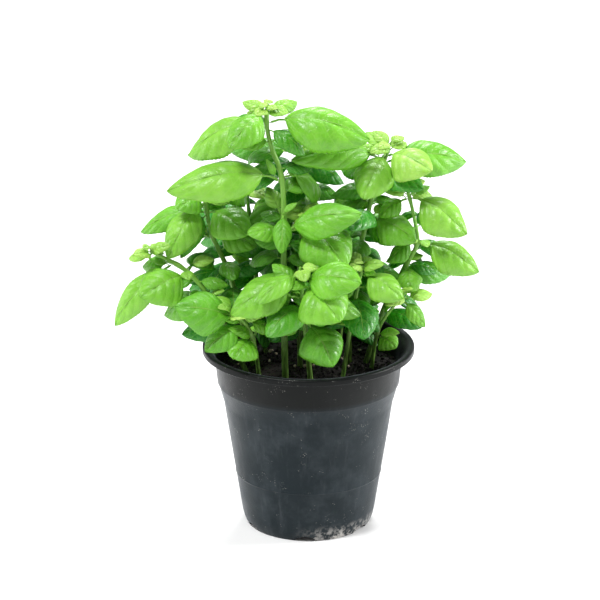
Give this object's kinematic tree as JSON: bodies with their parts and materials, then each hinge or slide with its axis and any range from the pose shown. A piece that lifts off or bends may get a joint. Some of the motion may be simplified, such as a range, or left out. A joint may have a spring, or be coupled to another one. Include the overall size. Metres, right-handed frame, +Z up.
{
  "type": "potted basil plant",
  "caption": "Bushy sweet basil plant with upright branching stems and opposite domed leaves, growing from dark soil in a thin tapered black plastic nursery pot.",
  "frame": {"origin": "centre of the pot's flat underside, on the surface it stands on", "axes": "+Z up along the pot's axis; -Y is the plant's front, +X its right as seen from the front"},
  "size_m": [0.2239, 0.1669, 0.2723],
  "materials": {
    "pot_plastic": "worn charcoal black polypropylene, satin, dusty",
    "soil": "damp, nearly black peat and coir crumbs with white grit",
    "stem": "fresh pale green, slightly waxy",
    "leaf": "bright fresh green, soft gloss, sunken veins"
  },
  "bodies": {
    "root": {"nursery_pot": "pot_plastic", "potting_soil": "soil", "stem_01": "stem", "stem_01_leaf_pair_1": "leaf", "stem_01_leaf_pair_2": "leaf", "stem_01_leaf_pair_3": "leaf", "stem_01_leaf_pair_4": "leaf", "stem_01_leaf_pair_5": "leaf", "stem_02": "stem", "stem_02_leaf_pair_1": "leaf", "stem_02_leaf_pair_2": "leaf", "stem_02_leaf_pair_3": "leaf", "stem_02_leaf_pair_4": "leaf", "stem_03": "stem", "stem_03_leaf_pair_1": "leaf", "stem_03_leaf_pair_2": "leaf", "stem_03_leaf_pair_3": "leaf", "stem_04": "stem", "stem_04_leaf_pair_1": "leaf", "stem_04_leaf_pair_2": "leaf", "stem_04_leaf_pair_3": "leaf", "stem_04_leaf_pair_4": "leaf", "stem_04_leaf_pair_5": "leaf", "stem_05": "stem", "stem_05_leaf_pair_1": "leaf", "stem_05_leaf_pair_2": "leaf", "stem_06": "stem", "stem_06_leaf_pair_1": "leaf", "stem_06_leaf_pair_2": "leaf", "stem_06_leaf_pair_3": "leaf", "stem_06_leaf_pair_4": "leaf", "stem_07": "stem", "stem_07_leaf_pair_1": "leaf", "stem_07_leaf_pair_2": "leaf", "stem_07_leaf_pair_3": "leaf", "stem_08": "stem", "stem_08_leaf_pair_1": "leaf", "stem_08_leaf_pair_2": "leaf", "stem_08_leaf_pair_3": "leaf", "stem_09": "stem", "stem_09_leaf_pair_1": "leaf", "stem_09_leaf_pair_2": "leaf", "stem_10": "stem", "stem_10_leaf_pair_1": "leaf", "stem_10_leaf_pair_2": "leaf", "stem_11": "stem", "stem_11_leaf_pair_1": "leaf", "stem_11_leaf_pair_2": "leaf", "stem_11_leaf_pair_3": "leaf", "stem_12": "stem", "stem_12_leaf_pair_1": "leaf", "stem_12_leaf_pair_2": "leaf", "stem_12_leaf_pair_3": "leaf", "stem_13": "stem", "stem_13_leaf_pair_1": "leaf", "stem_13_leaf_pair_2": "leaf", "stem_13_leaf_pair_3": "leaf", "stem_14": "stem", "stem_14_leaf_pair_1": "leaf", "stem_14_leaf_pair_2": "leaf"}
  },
  "joints": []
}
